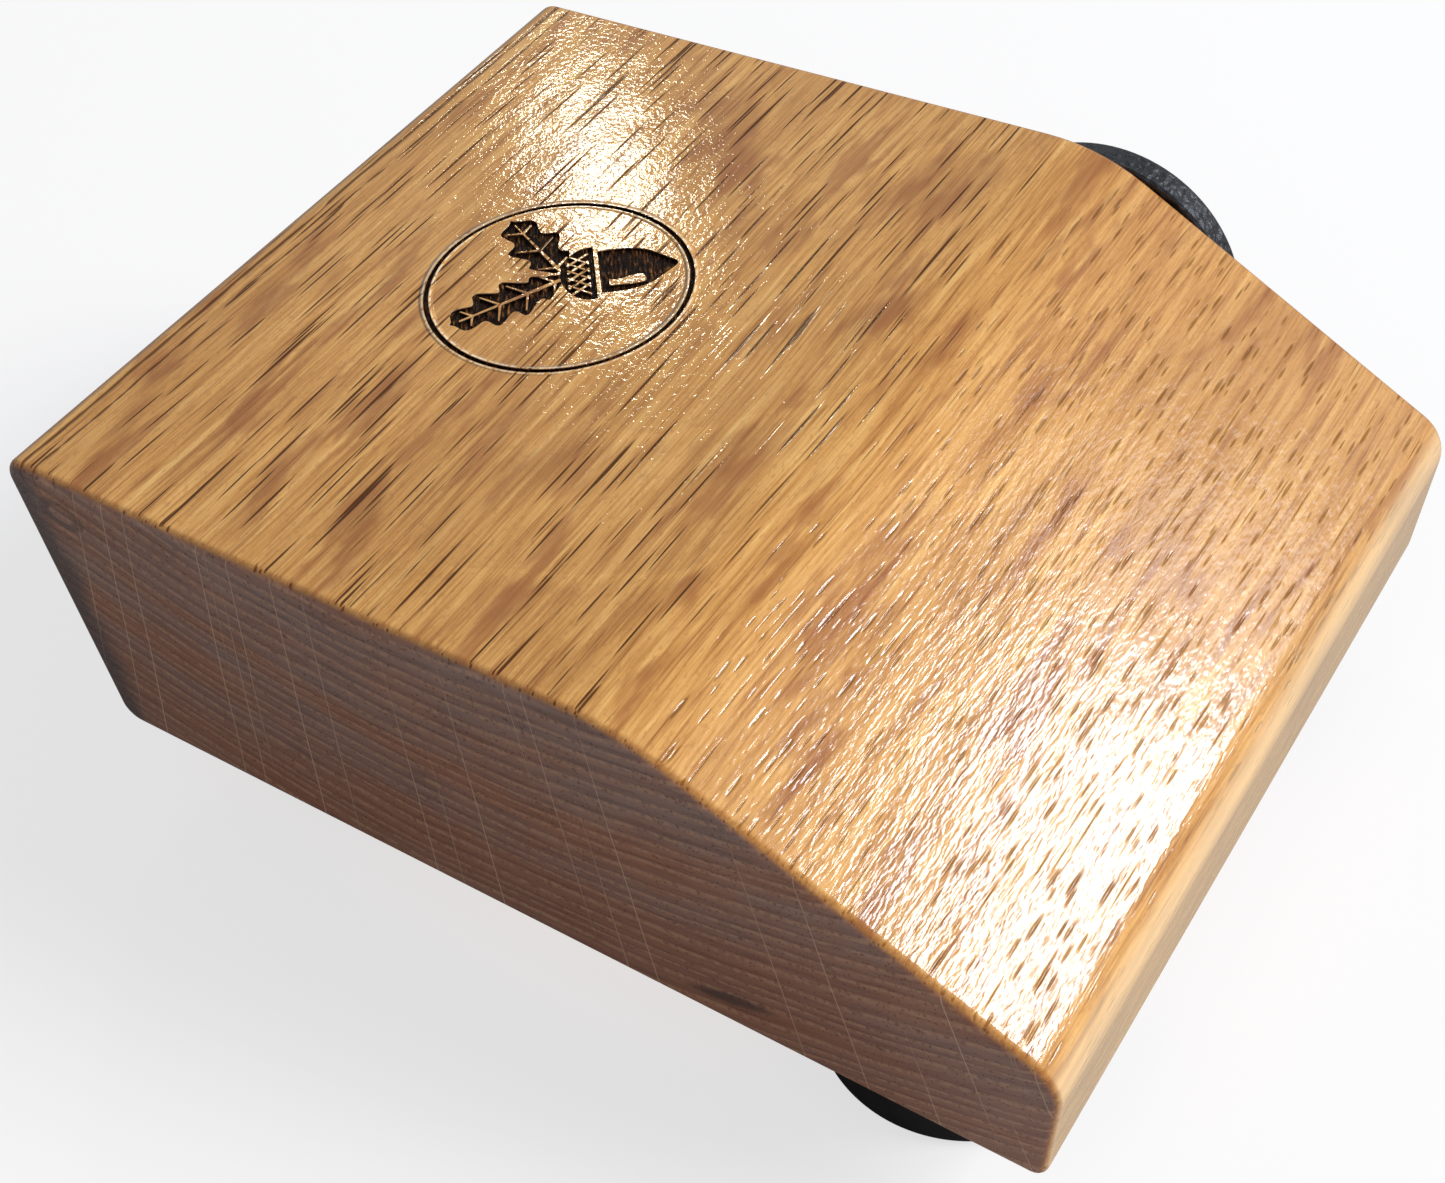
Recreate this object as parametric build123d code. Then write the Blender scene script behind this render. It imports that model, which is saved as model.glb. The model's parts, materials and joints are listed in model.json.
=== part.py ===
"""Wedge-shaped solid oak stomp box: a foot percussion block with a piezo pickup inside
and a 6.35 mm jack in its side.

Frame: millimetres, +Z up, z = 0 on the floor under the rubber feet. +X is the player's right
(jack side), -Y is the thin front edge, +Y the thick back. The origin is on the floor under the
middle of the overall envelope. The grain runs along X, so the two X faces are end grain.
Pieces are laid out about the block's own centre line and shifted by ENVELOPE_SHIFT when written.
"""

import math
import os
from collections import namedtuple

from build123d import *

Screw = namedtuple("Screw", "head_r head_h shank_r length")

# ---------------------------------------------------------------- block
BLOCK_W = 110.0  # along X
BLOCK_L = 137.0  # along Y
BLOCK_H = 45.0  # thickness at the back
FOOT_H = 11.0  # the feet lift the block by this much
BEND_Y = -17.9  # where the flat top turns into the slope
SLOPE_DEG = 27.0
BEND_R = 30.0
BACK_TOP_R = 3.0
BACK_BOTTOM_R = 3.0
FRONT_TOP_R = 6.4  # rounded nose
FRONT_BOTTOM_R = 1.6
END_EDGE_R = 1.2  # eased edge round both end-grain faces

HALF_W, HALF_L = BLOCK_W / 2, BLOCK_L / 2
BLOCK_BOTTOM = FOOT_H
BLOCK_TOP = FOOT_H + BLOCK_H

# engraving on the flat top
RING_X, RING_Y = 1.2, 27.8
RING_R = 16.3  # mean radius
RING_LINE = 0.65
ENGRAVE = 0.4  # depth of ring and motif
ABOVE_TOP = 0.5  # engraving cutters start this far above the block

# routed pocket, and the plate that covers it from below
POCKET_L = 62.0
POCKET_Y0, POCKET_Y1 = -26.0, 13.0
POCKET_TOP = 42.5
POCKET_R = 6.0
PLATE_L, PLATE_W, PLATE_T = 84.0, 49.0, 3.0
PLATE_Y = -4.5
PLATE_GAP = 0.2
PLATE_SCREW = Screw(head_r=2.75, head_h=1.7, shank_r=1.45, length=9.5)
PLATE_SCREW_X, PLATE_SCREW_Y = 37.0, 19.5  # offsets from the plate's centre
PLATE_HOLES = [
    (x_side * PLATE_SCREW_X, PLATE_Y + y_side * PLATE_SCREW_Y)
    for x_side in (-1, 1)
    for y_side in (-1, 1)
]

# rubber feet
FOOT_R = 17.5
FOOT_ROWS = {"front": (34.8, -48.9), "rear": (27.0, 40.5)}  # row: (x of the right foot, y)
FOOT_PLACES = {
    f"foot_{row}_{hand}": (sign * x, y)
    for row, (x, y) in FOOT_ROWS.items()
    for hand, sign in (("left", -1), ("right", 1))
}
FOOT_RECESS_R, FOOT_RECESS = 7.0, 5.5
FOOT_WASHER_R, FOOT_WASHER_T = 6.0, 1.0
FOOT_SEAT = FOOT_RECESS - FOOT_WASHER_T  # underside of the washer
FOOT_SCREW = Screw(head_r=4.0, head_h=2.6, shank_r=2.1, length=22.0)

HOLE_GAP = 0.02  # radial room round each screw

# recessed jack cup on the +X end-grain face; its axis is the jack axis
JACK_Y, JACK_Z = -18.3, 33.5
CUP_FLANGE_R, CUP_PROUD = 20.3, 4.4
CUP_FACE = HALF_W + CUP_PROUD
CUP_BARREL_R, CUP_BORE_R = 12.8, 13.0
CUP_RECESS_R = 10.8
CUP_FLOOR_OUT, CUP_FLOOR_IN = 43.0, 40.5
CUP_BORE_END = 12.0  # x where the side bore ends
CUP_SCREW = Screw(head_r=2.75, head_h=1.7, shank_r=1.45, length=16.0)
CUP_SCREW_OFFSET = 16.2  # fore and aft of the jack axis
CUP_HOLES_Y = [JACK_Y - CUP_SCREW_OFFSET, JACK_Y + CUP_SCREW_OFFSET]

# jack bushing, washer and nut
SOCKET_R = 3.25  # takes a 6.35 mm plug
BUSH_R = 4.7
BUSH_MOUTH = 49.6
TAIL_R = 4.1
THREAD_PITCH, THREAD_DEPTH = 0.794, 0.4
JACK_WASHER_R, JACK_WASHER_T = 7.2, 0.8
NUT_FLAT_R, NUT_T = 6.35, 2.4  # centre to flat, thickness

# jack stack, as x spans from the inside outwards
LIP_X = 35.3
BACKING_X = (35.8, 36.4)
CONTACT_X = (37.2, 37.7)
FRAME_X = (38.5, 39.5)
INNER_WAFER_X = (BACKING_X[1], CONTACT_X[0])
OUTER_WAFER_X = (CONTACT_X[1], FRAME_X[0])

# bent tabs on the jack plates
TAB_START = 5.8  # radius where a tab begins
LUG_W = 3.6
LUG_HOLE_R = 0.8
LUG_OUT = 8.8  # how far from the jack axis the bent lugs start
SPRING_TAB_W = 6.0
SLEEVE_REACH, TIP_REACH, SPRING_TAB_REACH = 30.5, 30.0, 35.0  # x at each tab's inner end
SLEEVE_TURN = 180  # sleeve lug points down
TIP_TURN = -90  # tip lug points towards the back

# tip spring, with its rolled root
HINGE_X, HINGE_H, ROOT_R = 34.3, 9.05, 0.6
SPRING_W, SPRING_T = 5.0, 0.45
SPRING_BEND_R = 0.9

# pickup on the pocket's ceiling
PIEZO_X, PIEZO_Y = -10.0, -4.0
GLUE_R, GLUE_T = 13.2, 0.2
BRASS_R, BRASS_T = 13.5, 0.3
CERAMIC_R, CERAMIC_T = 10.0, 0.22
GLUE_Z = POCKET_TOP - GLUE_T
BRASS_Z = GLUE_Z - BRASS_T
CERAMIC_Z = BRASS_Z - CERAMIC_T
FOAM_L, FOAM_W, FOAM_R = 28.0, 26.0, 2.5

# wires, each from the pickup to a jack lug
WIRE_R = 0.6
WIRE_BEND_R = 2.0
WIRE_OFFSET = WIRE_R + 0.15  # wire axis to the surface it is soldered to
SIGNAL_START = (PIEZO_X + 7.2, PIEZO_Y, CERAMIC_Z - WIRE_OFFSET)
SIGNAL_END = (TIP_REACH, JACK_Y + LUG_OUT - WIRE_OFFSET, JACK_Z)
GROUND_START = (PIEZO_X + 11.3, PIEZO_Y + 3.2, BRASS_Z - WIRE_OFFSET)
GROUND_END = (SLEEVE_REACH, JACK_Y, JACK_Z - LUG_OUT + WIRE_OFFSET)
DOME_R, BEAD_R = 1.5, 1.35  # solder on the pickup, solder on the lugs

ENVELOPE_SHIFT = -CUP_PROUD / 2  # puts the origin under the middle of the envelope
ON_BASE = (Align.CENTER, Align.CENTER, Align.MIN)
UNDER_TOP = (Align.CENTER, Align.CENTER, Align.MAX)
FROM_X0 = (Align.MIN, Align.CENTER, Align.MIN)


# ---------------------------------------------------------------- helpers
def x_cylinder(x0, x1, radius, y=JACK_Y, z=JACK_Z):
    """Cylinder along X between x0 and x1, on the jack axis unless told otherwise."""
    return Pos(x0, y, z) * Rot(0, 90, 0) * Cylinder(radius, x1 - x0, align=ON_BASE)


def z_to_jack(shape, x=0, y=JACK_Y):
    """Turns a shape's Z axis to +X and puts its origin at x, y on the jack's level."""
    return Pos(x, y, JACK_Z) * Rot(0, 90, 0) * shape


def revolve_up(points):
    """Solid of revolution about Z from (radius, height) points."""
    face = make_face(Polyline(*[(radius, 0, height) for radius, height in points], close=True))
    return revolve(face, Axis.Z, 360)


def circle_edges(shape, radius, height=None):
    """Circular edges of one radius, at one height if it is given."""
    return [
        edge
        for edge in shape.edges().filter_by(GeomType.CIRCLE)
        if abs(edge.radius - radius) < 0.01
        and (height is None or abs(edge.center().Z - height) < 0.01)
    ]


def group(shapes):
    return Compound(children=[solid for shape in shapes for solid in shape.solids()])


# ---------------------------------------------------------------- screws
def cross_recess(width, depth):
    """Cross slot cut down into a screw head whose top is at z = 0."""
    arm_w = width * 0.24
    cross = extrude(Rectangle(width, arm_w), -depth * 0.75)
    cross += extrude(Rectangle(arm_w, width), -depth * 0.75)
    core = Pos(0, 0, -depth) * Cone(width * 0.10, width * 0.30, depth, align=ON_BASE)
    return cross + core


def shank_points(screw):
    """Profile points from the start of the point taper to the tip."""
    return [(screw.shank_r, -screw.length + 2.2 * screw.shank_r), (0, -screw.length)]


def countersunk_screw(screw):
    """Countersunk wood screw, head face at z = 0, shank going down."""
    head = [(0, 0), (screw.head_r, 0), (screw.head_r, -0.3), (screw.shank_r, -screw.head_h)]
    body = revolve_up(head + shank_points(screw))
    return body - cross_recess(screw.head_r * 1.1, screw.head_h * 0.75)


def pan_screw(screw):
    """Pan-head wood screw, underside of the head at z = 0, shank going down."""
    head_r, head_h = screw.head_r, screw.head_h
    head = [
        (0, head_h),
        (head_r * 0.55, head_h),
        (head_r * 0.85, head_h * 0.82),
        (head_r, head_h * 0.42),
        (head_r, 0),
        (screw.shank_r, 0),
    ]
    body = revolve_up(head + shank_points(screw))
    return body - Pos(0, 0, head_h) * cross_recess(head_r * 1.1, head_h * 0.7)


def countersink(screw, mouth, direction):
    """Cutter for a countersunk head: mouth at height mouth, going up (1) or down (-1)."""
    rim, bottom = direction * 0.3, direction * screw.head_h
    return revolve_up(
        [(0, mouth), (screw.head_r, mouth), (screw.head_r, rim), (screw.shank_r, bottom), (0, bottom)]
    )


# ---------------------------------------------------------------- engraved oak leaves and acorn
def leaf_sketch(length, width, lobes):
    """Lobed oak leaf along +X from its base at the origin, with its veins left standing."""

    def envelope(t):
        return math.sin(math.pi * t**0.70) ** 0.60 * (0.62 + 0.38 * t)

    samples = 10 * lobes
    lobe_mean, lobe_swing = 0.80, 0.20
    upper = []
    for i in range(1, samples):
        t = i / samples
        wave = lobe_mean + lobe_swing * math.cos(2 * math.pi * (lobes * t - 0.52))
        x = length * (t + 0.125 * (wave - lobe_mean))  # lobes lean towards the tip
        upper.append((x, width / 2 * envelope(t) * wave))
    top = Spline((0, 0), *upper, (length, 0))
    bottom = Spline((0, 0), *[(x, -y) for x, y in upper], (length, 0))
    outline = make_face(top + bottom)

    tip_x = length * 0.9
    midrib = [(-0.5, 0.24), (tip_x, 0.08), (tip_x, -0.08), (-0.5, -0.24)]
    veins = make_face(Polyline(*midrib, close=True))
    for lobe in range(lobes):
        t = (lobe + 0.52) / lobes
        reach = width / 2 * envelope(t) * 0.74
        root = length * (t - 0.10)
        tip = root + reach * 0.55
        for side in (1, -1):
            vein = [
                (root - 0.16, 0),
                (tip - 0.05, side * reach),
                (tip + 0.10, side * (reach - 0.03)),
                (root + 0.20, 0),
            ]
            veins += make_face(Polyline(*vein, close=True))
    return outline - veins


# acorn outlines, (x, y) with the cap's lower edge near y = 0
NUT_OUTLINE = [
    (-4.2, -0.35), (-4.25, -3.0), (-3.4, -6.4), (-1.4, -8.8), (0, -10.0),
    (1.4, -8.8), (3.4, -6.4), (4.25, -3.0), (4.2, -0.35),
]
LIGHT_OUTLINE = [
    (-2.9, -1.4), (-3.0, -3.4), (-2.3, -5.9), (-1.6, -5.6), (-1.7, -3.4), (-1.6, -1.4),
]
CAP_OUTLINE = [
    (-5.2, 0.15), (-5.0, 1.9), (-3.3, 3.6), (0, 4.5), (3.3, 3.6), (5.0, 1.9), (5.2, 0.15),
]
STEM_OUTLINE = [(-0.45, 4.2), (-0.2, 6.0), (0.6, 6.0), (0.45, 4.2)]


def spline_face(points):
    """Face inside a spline whose ends are joined by a straight line."""
    return make_face(Spline(*points) + Line(points[-1], points[0]))


def acorn_sketch():
    """Acorn hanging along -Y, with a light left standing on the nut and a lattice on the cap."""
    lattice = None
    for x in (-3, -1.5, 0, 1.5, 3):
        for side in (1, -1):
            bar = Pos(x, 2.2) * Rot(0, 0, side * 52) * Rectangle(3.4, 0.22)
            lattice = bar if lattice is None else lattice + bar
    nut = spline_face(NUT_OUTLINE) - spline_face(LIGHT_OUTLINE)
    cap = spline_face(CAP_OUTLINE) - lattice
    return nut + cap + make_face(Polyline(*STEM_OUTLINE, close=True))


def motif_sketch():
    big_leaf = Pos(0.6, 0.4) * Rot(0, 0, 152) * leaf_sketch(15.0, 10.0, 4)
    small_leaf = Pos(2.2, 1.2) * Rot(0, 0, 64) * leaf_sketch(13.2, 9.2, 3)
    acorn = Pos(4.0, -2.9) * Rot(0, 0, 38) * acorn_sketch()
    return Pos(RING_X, RING_Y) * (big_leaf + small_leaf + acorn)


# ---------------------------------------------------------------- oak block
def block_blank():
    """Wedge with rounded corners and eased end-grain edges."""
    front_top = BLOCK_TOP - (BEND_Y + HALF_L) * math.tan(math.radians(SLOPE_DEG))
    corners = [  # (y, z), blend radius
        ((HALF_L, BLOCK_BOTTOM), BACK_BOTTOM_R),
        ((HALF_L, BLOCK_TOP), BACK_TOP_R),
        ((BEND_Y, BLOCK_TOP), BEND_R),
        ((-HALF_L, front_top), FRONT_TOP_R),
        ((-HALF_L, BLOCK_BOTTOM), FRONT_BOTTOM_R),
    ]
    profile = make_face(Polyline(*[corner for corner, _ in corners], close=True))
    for (y, z), radius in corners:
        nearest = profile.vertices().sort_by_distance(Vector(y, z, 0))[0]
        profile = fillet(nearest, radius)
    blank = extrude(Plane.YZ.offset(-HALF_W) * profile, BLOCK_W)
    ends = blank.faces().sort_by(Axis.X)
    return fillet(ends[0].edges() + ends[-1].edges(), END_EDGE_R)


def make_oak_body():
    oak = block_blank()

    # engraved ring and motif
    ring = Circle(RING_R + RING_LINE / 2) - Circle(RING_R - RING_LINE / 2)
    for sketch in (Pos(RING_X, RING_Y) * ring, motif_sketch()):
        oak -= extrude(Pos(0, 0, BLOCK_TOP + ABOVE_TOP) * sketch, -(ENGRAVE + ABOVE_TOP))

    # rebate for the cover plate, pocket above it, side bore for the jack
    rebate = extrude(RectangleRounded(PLATE_L, PLATE_W, POCKET_R), PLATE_T + 1)
    oak -= Pos(0, PLATE_Y, BLOCK_BOTTOM - 1) * rebate
    pocket_outline = RectangleRounded(POCKET_L, POCKET_Y1 - POCKET_Y0, POCKET_R)
    pocket = extrude(pocket_outline, POCKET_TOP - BLOCK_BOTTOM)
    oak -= Pos(0, (POCKET_Y0 + POCKET_Y1) / 2, BLOCK_BOTTOM) * pocket
    oak -= x_cylinder(CUP_BORE_END, HALF_W + 1, CUP_BORE_R)

    # screw holes
    foot_depth = FOOT_SEAT + FOOT_SCREW.length - BLOCK_BOTTOM
    for places, screw, depth in (
        (FOOT_PLACES.values(), FOOT_SCREW, foot_depth),
        (PLATE_HOLES, PLATE_SCREW, PLATE_SCREW.length),
    ):
        for x, y in places:
            hole = Cylinder(screw.shank_r + HOLE_GAP, depth, align=ON_BASE)
            oak -= Pos(x, y, BLOCK_BOTTOM) * hole
    for y in CUP_HOLES_Y:
        hole_end = CUP_FACE - CUP_SCREW.length
        oak -= x_cylinder(hole_end, HALF_W + 1, CUP_SCREW.shank_r + HOLE_GAP, y=y)
    return oak


# ---------------------------------------------------------------- cover plate
def make_cover_plate():
    outline = RectangleRounded(
        PLATE_L - 2 * PLATE_GAP, PLATE_W - 2 * PLATE_GAP, POCKET_R - PLATE_GAP
    )
    plate = extrude(outline, PLATE_T)
    plate = chamfer(plate.faces().sort_by(Axis.Z)[0].edges(), 0.3)
    plate = Pos(0, PLATE_Y, BLOCK_BOTTOM) * plate
    for x, y in PLATE_HOLES:
        place = Pos(x, y, BLOCK_BOTTOM)
        plate -= place * Cylinder(PLATE_SCREW.shank_r + HOLE_GAP, PLATE_T, align=ON_BASE)
        plate -= place * countersink(PLATE_SCREW, mouth=0, direction=1)
    return plate


# ---------------------------------------------------------------- feet
def make_foot():
    """Foot standing on z = 0, with a screw recess in its underside."""
    foot = Cylinder(FOOT_R, FOOT_H, align=ON_BASE)
    foot = fillet(foot.edges().group_by(Axis.Z)[0], 1.6)
    foot = chamfer(foot.edges().filter_by(GeomType.CIRCLE).group_by(Axis.Z)[-1], 0.4)
    foot -= Cylinder(FOOT_RECESS_R, FOOT_RECESS, align=ON_BASE)
    foot -= Cylinder(FOOT_SCREW.shank_r + HOLE_GAP, FOOT_H, align=ON_BASE)
    return fillet(circle_edges(foot, FOOT_RECESS_R, 0), 0.5)


def make_foot_washer():
    washer = Cylinder(FOOT_WASHER_R, FOOT_WASHER_T, align=ON_BASE)
    washer -= Cylinder(FOOT_SCREW.shank_r + 0.2, FOOT_WASHER_T, align=ON_BASE)
    return fillet(circle_edges(washer, FOOT_WASHER_R), 0.2)


# ---------------------------------------------------------------- jack cup
def make_jack_cup():
    """Flanged cup, first revolved about Z with its heights being the final x."""
    hole_r = BUSH_R + 0.15
    cup = revolve_up(
        [
            (CUP_RECESS_R, CUP_FACE),
            (CUP_FLANGE_R, CUP_FACE),
            (CUP_FLANGE_R, HALF_W),
            (CUP_BARREL_R, HALF_W),
            (CUP_BARREL_R, CUP_FLOOR_IN),
            (hole_r, CUP_FLOOR_IN),
            (hole_r, CUP_FLOOR_OUT),
            (CUP_RECESS_R, CUP_FLOOR_OUT),
        ]
    )
    for blend, radius, height, size in (
        (fillet, CUP_FLANGE_R, CUP_FACE, 1.4),
        (fillet, CUP_RECESS_R, CUP_FACE, 1.4),
        (fillet, CUP_RECESS_R, CUP_FLOOR_OUT, 0.6),
        (chamfer, CUP_BARREL_R, CUP_FLOOR_IN, 0.6),
        (chamfer, CUP_FLANGE_R, HALF_W, 0.25),
    ):
        cup = blend(circle_edges(cup, radius, height), size)
    cup = z_to_jack(cup)
    for y in CUP_HOLES_Y:
        cup -= x_cylinder(HALF_W, CUP_FACE, CUP_SCREW.shank_r + HOLE_GAP, y=y)
        cup -= z_to_jack(countersink(CUP_SCREW, mouth=0.01, direction=-1), CUP_FACE, y)
    return cup


# ---------------------------------------------------------------- open-frame jack
def make_bushing():
    """Hollow bushing with ring-shaped thread grooves outside the cup floor."""
    lip_r, collar_r = TAIL_R + 0.9, 6.5
    root_r = BUSH_R - THREAD_DEPTH
    profile = [
        (SOCKET_R, LIP_X),
        (lip_r, LIP_X),
        (lip_r, BACKING_X[0]),
        (TAIL_R, BACKING_X[0]),
        (TAIL_R, FRAME_X[1]),
        (collar_r, FRAME_X[1]),
        (collar_r, CUP_FLOOR_IN),
        (root_r, CUP_FLOOR_IN),
    ]
    height = CUP_FLOOR_IN
    while height + THREAD_PITCH < BUSH_MOUTH - 0.4:
        profile += [(root_r, height + 0.05), (BUSH_R, height + THREAD_PITCH * 0.5)]
        height += THREAD_PITCH
    profile += [
        (root_r, height + 0.05),
        (BUSH_R - 0.55, BUSH_MOUTH),
        (SOCKET_R + 0.35, BUSH_MOUTH),
        (SOCKET_R, BUSH_MOUTH - 0.35),
    ]
    return z_to_jack(revolve_up(profile))


def make_jack_washer():
    span = (CUP_FLOOR_OUT, CUP_FLOOR_OUT + JACK_WASHER_T)
    return x_cylinder(*span, JACK_WASHER_R) - x_cylinder(*span, BUSH_R + 0.1)


def make_jack_nut():
    """Hexagon nut with its outer corners trimmed by a cone."""
    nut = extrude(RegularPolygon(NUT_FLAT_R, 6, major_radius=False), NUT_T)
    nut &= Cone(7.9, 6.3, NUT_T + 0.001, align=ON_BASE) + Cylinder(6.6, NUT_T, align=ON_BASE)
    nut -= Cylinder(BUSH_R, NUT_T, align=ON_BASE)
    return z_to_jack(nut, CUP_FLOOR_OUT + JACK_WASHER_T)


def on_axis(shape):
    """Moves a shape laid out about the X axis onto the jack axis."""
    return Pos(0, JACK_Y, JACK_Z) * shape


def disc_ring(x_span, outer_r, inner_r):
    """Flat ring about the X axis."""
    x0, x1 = x_span
    outer = Cylinder(outer_r, x1 - x0, align=ON_BASE)
    return Pos(x0, 0, 0) * Rot(0, 90, 0) * (outer - Cylinder(inner_r, x1 - x0, align=ON_BASE))


def bent_tab(x_span, thickness, reach, has_lug=True):
    """Tab going out along +Z from a disc and then inwards along -X to x = reach."""
    x0, x1 = x_span
    width = LUG_W if has_lug else SPRING_TAB_W
    out_box = Box(x1 - x0, width, LUG_OUT + thickness - TAB_START, align=FROM_X0)
    inward_box = Box(x1 - reach, width, thickness, align=FROM_X0)
    tab = Pos(x0, 0, TAB_START) * out_box + Pos(reach, 0, LUG_OUT) * inward_box
    if has_lug:
        lug_end = Pos(reach, 0, LUG_OUT)
        tab += lug_end * Cylinder(LUG_W / 2, thickness, align=ON_BASE)
        tab -= lug_end * Cylinder(LUG_HOLE_R, thickness, align=ON_BASE)
    return tab


def make_jack_frame():
    lug = Rot(SLEEVE_TURN, 0, 0) * bent_tab(FRAME_X, 0.8, SLEEVE_REACH)
    return on_axis(disc_ring(FRAME_X, 8.75, TAIL_R) + lug)


def make_tip_plate():
    """Contact ring with a solder lug and a wide tab over which the tip spring hinges."""
    contact = disc_ring(CONTACT_X, 7.5, 5.5)
    contact += Rot(TIP_TURN, 0, 0) * bent_tab(CONTACT_X, 0.5, TIP_REACH)
    contact += bent_tab(CONTACT_X, 0.5, SPRING_TAB_REACH, has_lug=False)
    return on_axis(contact)


def make_tip_spring():
    """Leaf that bears on the plug's tip; it swings about its rolled root."""
    path_points = [  # (x, y, height above the jack axis)
        (HINGE_X, 0, HINGE_H), (16.6, 0, 8.7), (14.0, 0, 6.9),
        (16.6, 0, 4.6), (22.3, 0, 1.75), (25.2, 0, 3.7),
    ]
    path = FilletPolyline(*path_points, radius=SPRING_BEND_R)
    start = Plane(origin=path @ 0, x_dir=(0, 1, 0), z_dir=path % 0)
    leaf = sweep(start * Rectangle(SPRING_W, SPRING_T), path)
    leaf += Pos(HINGE_X, 0, HINGE_H) * Rot(90, 0, 0) * Cylinder(ROOT_R, SPRING_W)
    return on_axis(leaf)


# ---------------------------------------------------------------- pickup, wires, solder, foam
def pickup_disc(radius, thickness, bottom_z):
    return Pos(PIEZO_X, PIEZO_Y, bottom_z) * Cylinder(radius, thickness, align=ON_BASE)


def make_wire(points):
    """Round wire through the points, with bent corners."""
    path = FilletPolyline(*points, radius=WIRE_BEND_R)
    section = Plane(origin=path @ 0, z_dir=path % 0) * Circle(WIRE_R)
    return sweep(section, path)


def make_signal_wire():
    bends = [
        (3.5, PIEZO_Y, SIGNAL_START[2]),
        (12.0, -6.4, 32.2),
        (22.0, -9.6, 31.2),
        (27.0, SIGNAL_END[1], SIGNAL_END[2]),
    ]
    return make_wire([SIGNAL_START, *bends, SIGNAL_END])


def make_ground_wire():
    bends = [
        (6.0, 1.4, 39.5),
        (9.0, -1.5, 26.0),
        (17.0, -11.0, 21.6),
        (26.0, JACK_Y, GROUND_END[2]),
    ]
    return make_wire([GROUND_START, *bends, GROUND_END])


def solder_dome(wire_start, surface_z):
    """Half ball of solder hanging from a pickup surface over a wire's end."""
    place = Pos(wire_start[0] + 0.2, wire_start[1], surface_z)
    return place * Sphere(DOME_R) & place * Box(4, 4, 4, align=UNDER_TOP)


def solder_bead(wire_end, y_shift, z_shift):
    """Ball of solder round a wire's end at its lug."""
    x, y, z = wire_end
    return Pos(x - 0.2, y + y_shift, z + z_shift) * Sphere(BEAD_R)


def make_solder_joints(neighbours):
    """Joints cut back by what they touch, keeping the largest piece of each."""
    joints = []
    for joint in (
        solder_dome(SIGNAL_START, CERAMIC_Z),
        solder_dome(GROUND_START, BRASS_Z),
        solder_bead(SIGNAL_END, 0.1, 0),
        solder_bead(GROUND_END, 0, -0.1),
    ):
        for neighbour in neighbours:
            joint = joint - neighbour
        joints.append(max(joint.solids(), key=lambda solid: solid.volume))
    return group(joints)


def make_foam_pad():
    """Foam pad that holds the pickup up against the oak, notched for the wires."""
    bottom = BLOCK_BOTTOM + PLATE_T
    pad = extrude(RectangleRounded(FOAM_L, FOAM_W, FOAM_R), CERAMIC_Z - bottom)
    foam = Pos(PIEZO_X, PIEZO_Y, bottom) * pad
    notch = Box(16, 12, 20, align=(Align.MIN, Align.MIN, Align.MIN))
    return foam - Pos(PIEZO_X + 4.5, PIEZO_Y - 4.0, 34.0) * notch


# ---------------------------------------------------------------- build and write every node
plate_screw = Rot(180, 0, 0) * countersunk_screw(PLATE_SCREW)
foot_screw = Rot(180, 0, 0) * pan_screw(FOOT_SCREW)
cup_screw = countersunk_screw(CUP_SCREW)
foot = make_foot()
foot_washer = make_foot_washer()
foot_seats = [Pos(x, y, FOOT_SEAT) for x, y in FOOT_PLACES.values()]
wafers = [on_axis(disc_ring(span, 8.5, TAIL_R)) for span in (OUTER_WAFER_X, INNER_WAFER_X)]

nodes = {
    "oak_body": make_oak_body(),
    "cover_plate": make_cover_plate(),
    "cover_plate_screws": group(Pos(x, y, BLOCK_BOTTOM) * plate_screw for x, y in PLATE_HOLES),
    "foot_washers": group(seat * foot_washer for seat in foot_seats),
    "foot_screws": group(seat * foot_screw for seat in foot_seats),
    "jack_cup": make_jack_cup(),
    "jack_cup_screws": group(z_to_jack(cup_screw, CUP_FACE, y) for y in CUP_HOLES_Y),
    "jack_bushing": make_bushing(),
    "jack_washer": make_jack_washer(),
    "jack_nut": make_jack_nut(),
    "jack_frame": make_jack_frame(),
    "jack_insulators": group(wafers),
    "jack_tip_plate": make_tip_plate(),
    "jack_backing_washer": on_axis(disc_ring(BACKING_X, 7.4, TAIL_R)),
    "jack_tip_spring": make_tip_spring(),
    "piezo_adhesive": pickup_disc(GLUE_R, GLUE_T, GLUE_Z),
    "piezo_disc": pickup_disc(BRASS_R, BRASS_T, BRASS_Z),
    "piezo_ceramic": pickup_disc(CERAMIC_R, CERAMIC_T, CERAMIC_Z),
    "foam_pad": make_foam_pad(),
    "signal_wire": make_signal_wire(),
    "ground_wire": make_ground_wire(),
}
SOLDERED = (
    "signal_wire", "ground_wire", "piezo_ceramic", "piezo_disc", "jack_frame", "jack_tip_plate",
)
nodes["solder_joints"] = make_solder_joints([nodes[name] for name in SOLDERED])
for name, (x, y) in FOOT_PLACES.items():
    nodes[name] = Pos(x, y, 0) * foot

os.makedirs("parts", exist_ok=True)
for name, shape in nodes.items():
    solids = (Pos(ENVELOPE_SHIFT, 0, 0) * shape).solids()
    part = solids[0] if len(solids) == 1 else Compound(children=list(solids))
    part.label = name
    export_step(part, f"parts/{name}.step")
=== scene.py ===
"""Looks for the oak stomp box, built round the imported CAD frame. Metres, +Z up, the same frame as the CAD."""

import json
import math

import bpy
from mathutils import Matrix, Vector

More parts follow.
